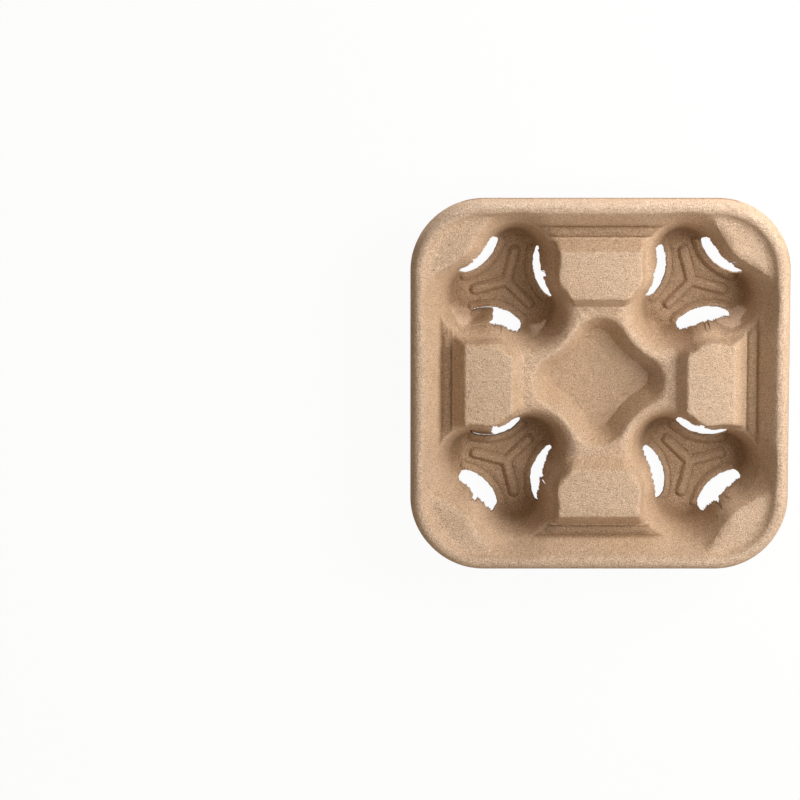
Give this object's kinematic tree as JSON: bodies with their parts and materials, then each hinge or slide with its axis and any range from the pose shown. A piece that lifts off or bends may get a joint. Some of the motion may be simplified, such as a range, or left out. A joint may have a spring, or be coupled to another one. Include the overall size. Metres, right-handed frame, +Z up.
{
  "type": "cup carrier tray",
  "caption": "Moulded pulp carrier tray with lobed cup wells, gripping tabs over floor windows, raised pads and a centre pocket.",
  "frame": {"origin": "middle of the tray, on the plane its four feet stand on", "axes": "+Z up through the open side; +X and +Y square to the tray's straight sides"},
  "size_m": [0.216, 0.216, 0.0445],
  "materials": {
    "pulp": "unbleached moulded paper pulp, matt and fibrous"
  },
  "bodies": {
    "root": {"tray": "pulp"}
  },
  "joints": []
}
